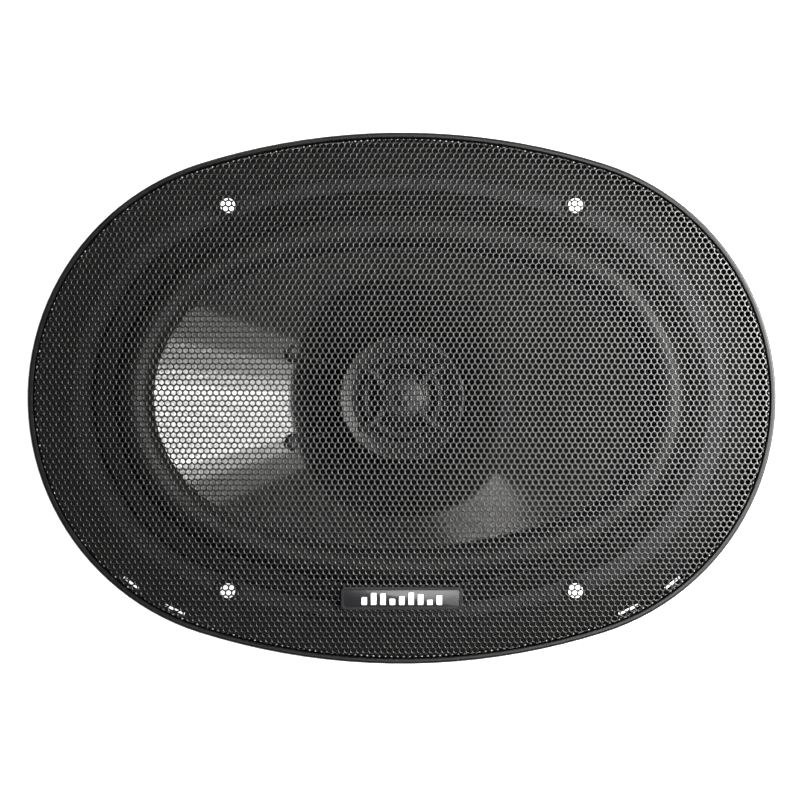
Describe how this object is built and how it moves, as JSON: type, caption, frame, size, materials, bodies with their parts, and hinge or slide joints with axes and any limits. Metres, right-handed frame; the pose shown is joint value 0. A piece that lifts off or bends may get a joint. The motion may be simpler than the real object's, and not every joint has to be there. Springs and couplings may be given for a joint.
{
  "type": "coaxial car speaker",
  "caption": "Oval coaxial car speaker with a domed perforated grille, a cone woofer, a tweeter on a central post, a stamped basket and a booted ring magnet.",
  "frame": {"origin": "centre of the four mounting-screw holes at the flange's rear face", "axes": "+Z out of the front of the speaker, X along the oval's long axis, Y along its short axis with the badge at -Y"},
  "size_m": [0.24, 0.1704, 0.0988],
  "materials": {
    "basket_paint": "satin black",
    "foam": "matt",
    "plated_steel": "zinc plated",
    "ferrite": "ground ceramic",
    "rubber": "matt",
    "phenolic": "laminated board",
    "tinned_brass": "tinned",
    "brass": "bright",
    "capacitor_sleeve": "shrunk sleeve",
    "wire_cover": "vinyl",
    "black_plastic": "satin",
    "nickel": "nickel plated",
    "gloss_black": "gloss",
    "cone_film": "gloss",
    "surround_rubber": "satin",
    "spider_cloth": "resin treated cloth",
    "former_film": "amber film",
    "copper": "enamelled",
    "felt": "felt",
    "black_glue": "glossy glue",
    "dome_film": "metallised film",
    "black_steel": "semi-gloss black",
    "badge_grey": "satin grey",
    "white_print": "raised white"
  },
  "bodies": {
    "chassis": {"basket": "basket_paint", "surround_gasket": "foam", "top_plate": "plated_steel", "ferrite_magnet": "ferrite", "pole_yoke": "plated_steel", "magnet_boot": "rubber", "basket_rivets": "plated_steel", "terminal_board": "phenolic", "terminal_tab_positive": "tinned_brass", "terminal_tab_negative": "tinned_brass", "terminal_rivets": "brass", "crossover_capacitor": "capacitor_sleeve", "tweeter_wires": "wire_cover", "tweeter_post": "plated_steel", "post_washer": "plated_steel", "post_nut": "plated_steel", "tweeter_housing": "black_plastic", "tweeter_yoke_cup": "plated_steel", "tweeter_magnet": "nickel", "tweeter_top_plate": "plated_steel", "tweeter_edge_ring": "black_plastic", "tweeter_guard": "gloss_black"},
    "cone_assembly": {"cone": "cone_film", "surround": "surround_rubber", "spider": "spider_cloth", "coil_former": "former_film", "coil_winding": "copper", "dust_ring": "felt", "lead_dots": "black_glue", "tinsel_lead_positive": "copper", "tinsel_lead_negative": "copper"},
    "tweeter_diaphragm": {"tweeter_dome": "dome_film", "tweeter_surround": "surround_rubber", "tweeter_coil": "copper"},
    "grille": {"grille_tray": "black_plastic", "grille_mesh": "black_steel", "badge_plate": "badge_grey", "badge_motif": "white_print", "badge_push_nuts": "plated_steel"}
  },
  "joints": [
    {"name": "cone_stroke", "type": "slide", "parent": "chassis", "child": "cone_assembly", "axis": [0, 0, 1], "range_m": [-0.004, 0.004], "stiffness_N_per_m": 3000, "deforming": ["surround", "spider", "tinsel_lead_positive", "tinsel_lead_negative"]},
    {"name": "tweeter_stroke", "type": "slide", "parent": "chassis", "child": "tweeter_diaphragm", "axis": [0, 0, 1], "range_m": [-0.0003, 0.0003], "stiffness_N_per_m": 2000, "deforming": ["tweeter_surround"]},
    {"name": "grille_lift", "type": "slide", "parent": "chassis", "child": "grille", "axis": [0, 0, 1], "range_m": [0, 0.04]}
  ]
}
